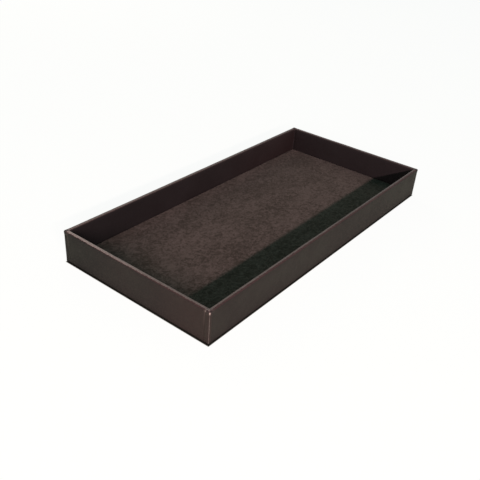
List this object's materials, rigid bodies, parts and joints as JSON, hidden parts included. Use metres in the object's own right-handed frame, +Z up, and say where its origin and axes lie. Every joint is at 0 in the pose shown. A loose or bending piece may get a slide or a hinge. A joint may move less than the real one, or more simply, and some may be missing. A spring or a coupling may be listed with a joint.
{
  "type": "dice tray",
  "caption": "Shallow rectangular dice tray of stiff boards wrapped in dark brown leatherette, with a brown suede floor pad and a felt-lined underside.",
  "frame": {"origin": "centre of the footprint, on the surface that the tray rests on", "axes": "+X along the tray, +Y across it, +Z up"},
  "size_m": [0.35, 0.166, 0.032],
  "materials": {
    "greyboard": "matt grey board",
    "stay_paper": "brown gummed paper",
    "leatherette": "dark brown leatherette, fine grain, low sheen",
    "suede": "brown suede with a brushed, mottled nap",
    "felt": "black felt"
  },
  "bodies": {
    "root": {"base_board": "greyboard", "front_wall_board": "greyboard", "rear_wall_board": "greyboard", "left_wall_board": "greyboard", "right_wall_board": "greyboard", "front_left_corner_stay": "stay_paper", "front_right_corner_stay": "stay_paper", "rear_left_corner_stay": "stay_paper", "rear_right_corner_stay": "stay_paper", "front_wrap": "leatherette", "rear_wrap": "leatherette", "left_wrap": "leatherette", "right_wrap": "leatherette", "floor_card": "greyboard", "floor_suede": "suede", "base_felt": "felt"}
  },
  "joints": []
}
